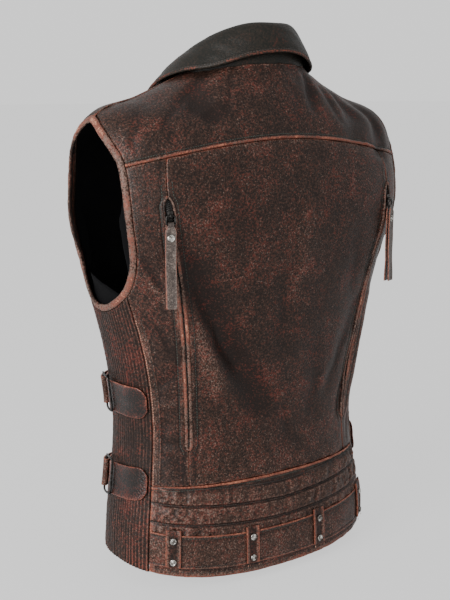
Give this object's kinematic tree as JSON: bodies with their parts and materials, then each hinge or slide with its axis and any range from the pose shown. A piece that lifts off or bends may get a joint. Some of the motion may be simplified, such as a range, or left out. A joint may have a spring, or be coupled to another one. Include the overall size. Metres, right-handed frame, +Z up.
{
  "type": "leather vest",
  "caption": "Worn leather biker vest with a turned collar, back zips on leather pulls, ribbed sides with buckled straps and a riveted half belt.",
  "frame": {"origin": "middle of the neck base, at the height of the high point of the shoulders, where the wearer holds the vest", "axes": "+Z up along the body, -Y the way the wearer faces, +X the wearer's left"},
  "size_m": [0.44, 0.2528, 0.6801],
  "materials": {
    "hide": "distressed, brown black with rust rub-off, satin",
    "worn_hide": "distressed and rubbed red brown, satin",
    "edge_hide": "rolled edge worn to rust and tan",
    "ribbed_hide": "fine ribs, rubbed on their tops",
    "collar_hide": "dark brown with a grey sheen",
    "lining": "black satin twill",
    "zip_tape": "black tape with dark metal teeth",
    "pewter": "antique pewter",
    "gunmetal": "dark gunmetal"
  },
  "bodies": {
    "vest": {"back_centre": "hide", "back_side_left": "hide", "back_side_right": "hide", "yoke": "hide", "kidney_panel": "worn_hide", "hem_band": "hide", "half_belt": "worn_hide", "belt_loop_1": "worn_hide", "loop_rivet_1": "pewter", "loop_rivet_2": "pewter", "belt_loop_2": "worn_hide", "loop_rivet_3": "pewter", "loop_rivet_4": "pewter", "belt_loop_3": "worn_hide", "loop_rivet_5": "pewter", "loop_rivet_6": "pewter", "belt_loop_4": "worn_hide", "loop_rivet_7": "pewter", "loop_rivet_8": "pewter", "side_panel_left": "ribbed_hide", "side_panel_right": "ribbed_hide", "front_left": "hide", "front_right": "hide", "armhole_binding_left": "edge_hide", "armhole_binding_right": "edge_hide", "strap_tab_upper_left": "worn_hide", "strap_keeper_upper_left": "worn_hide", "strap_buckle_upper_left": "gunmetal", "strap_tab_lower_left": "worn_hide", "strap_keeper_lower_left": "worn_hide", "strap_buckle_lower_left": "gunmetal", "strap_tab_upper_right": "worn_hide", "strap_keeper_upper_right": "worn_hide", "strap_buckle_upper_right": "gunmetal", "strap_tab_lower_right": "worn_hide", "strap_keeper_lower_right": "worn_hide", "strap_buckle_lower_right": "gunmetal", "back_zip_left": "zip_tape", "back_zip_welt_left": "edge_hide", "back_zip_slider_left": "gunmetal", "back_zip_right": "zip_tape", "back_zip_welt_right": "edge_hide", "back_zip_slider_right": "gunmetal", "front_zip": "zip_tape", "front_zip_slider": "gunmetal", "collar_stand": "collar_hide", "collar_fall": "collar_hide", "lapel_left": "collar_hide", "lapel_right": "collar_hide", "lining_back": "lining", "lining_front_left": "lining", "lining_front_right": "lining"},
    "pull_left": {"pull_link_left": "gunmetal", "pull_strap_left": "worn_hide", "pull_rivet_left": "pewter"},
    "pull_right": {"pull_link_right": "gunmetal", "pull_strap_right": "worn_hide", "pull_rivet_right": "pewter"},
    "front_pull": {"front_zip_pull": "pewter"}
  },
  "joints": [
    {"name": "pull_left_swing", "type": "hinge", "parent": "vest", "child": "pull_left", "pos_m": [0.17006, 0.10368, -0.15992], "axis": [0.9185, -0.3955, 0], "range_deg": [0, 150]},
    {"name": "pull_right_swing", "type": "hinge", "parent": "vest", "child": "pull_right", "pos_m": [-0.17006, 0.10368, -0.15992], "axis": [0.9185, 0.3955, 0], "range_deg": [0, 150]},
    {"name": "front_pull_swing", "type": "hinge", "parent": "vest", "child": "front_pull", "pos_m": [0, -0.12902, -0.2238], "axis": [-1, 0, 0], "range_deg": [0, 150]}
  ]
}
